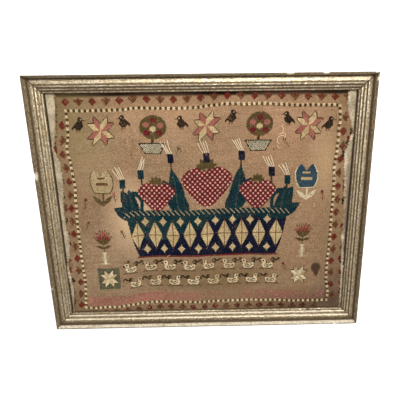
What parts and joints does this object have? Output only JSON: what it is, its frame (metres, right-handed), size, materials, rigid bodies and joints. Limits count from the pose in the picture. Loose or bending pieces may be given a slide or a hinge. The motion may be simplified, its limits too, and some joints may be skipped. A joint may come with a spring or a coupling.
{
  "type": "framed cross stitch sampler with its moulded frame",
  "caption": "Old cross stitch sampler on tan linen, laid over a pale board in a slim mitred gilt wood moulding, lying on its back.",
  "frame": {"origin": "on the surface the frame lies on, under the middle of the frame", "axes": "+Z out of the picture's face, +Y towards the sampler's top edge, +X towards its right edge"},
  "size_m": [0.6, 0.48, 0.0268],
  "materials": {
    "gilt_frame": "worn silver-gilt over gesso, with dark specks and chips",
    "backing_board": "pale paper-faced board, matt",
    "linen_ground": "coarse tan linen with cross stitch embroidery"
  },
  "bodies": {
    "root": {"rail_top": "gilt_frame", "rail_bottom": "gilt_frame", "rail_left": "gilt_frame", "rail_right": "gilt_frame", "backing_board": "backing_board", "sampler_cloth": "linen_ground"}
  },
  "joints": []
}
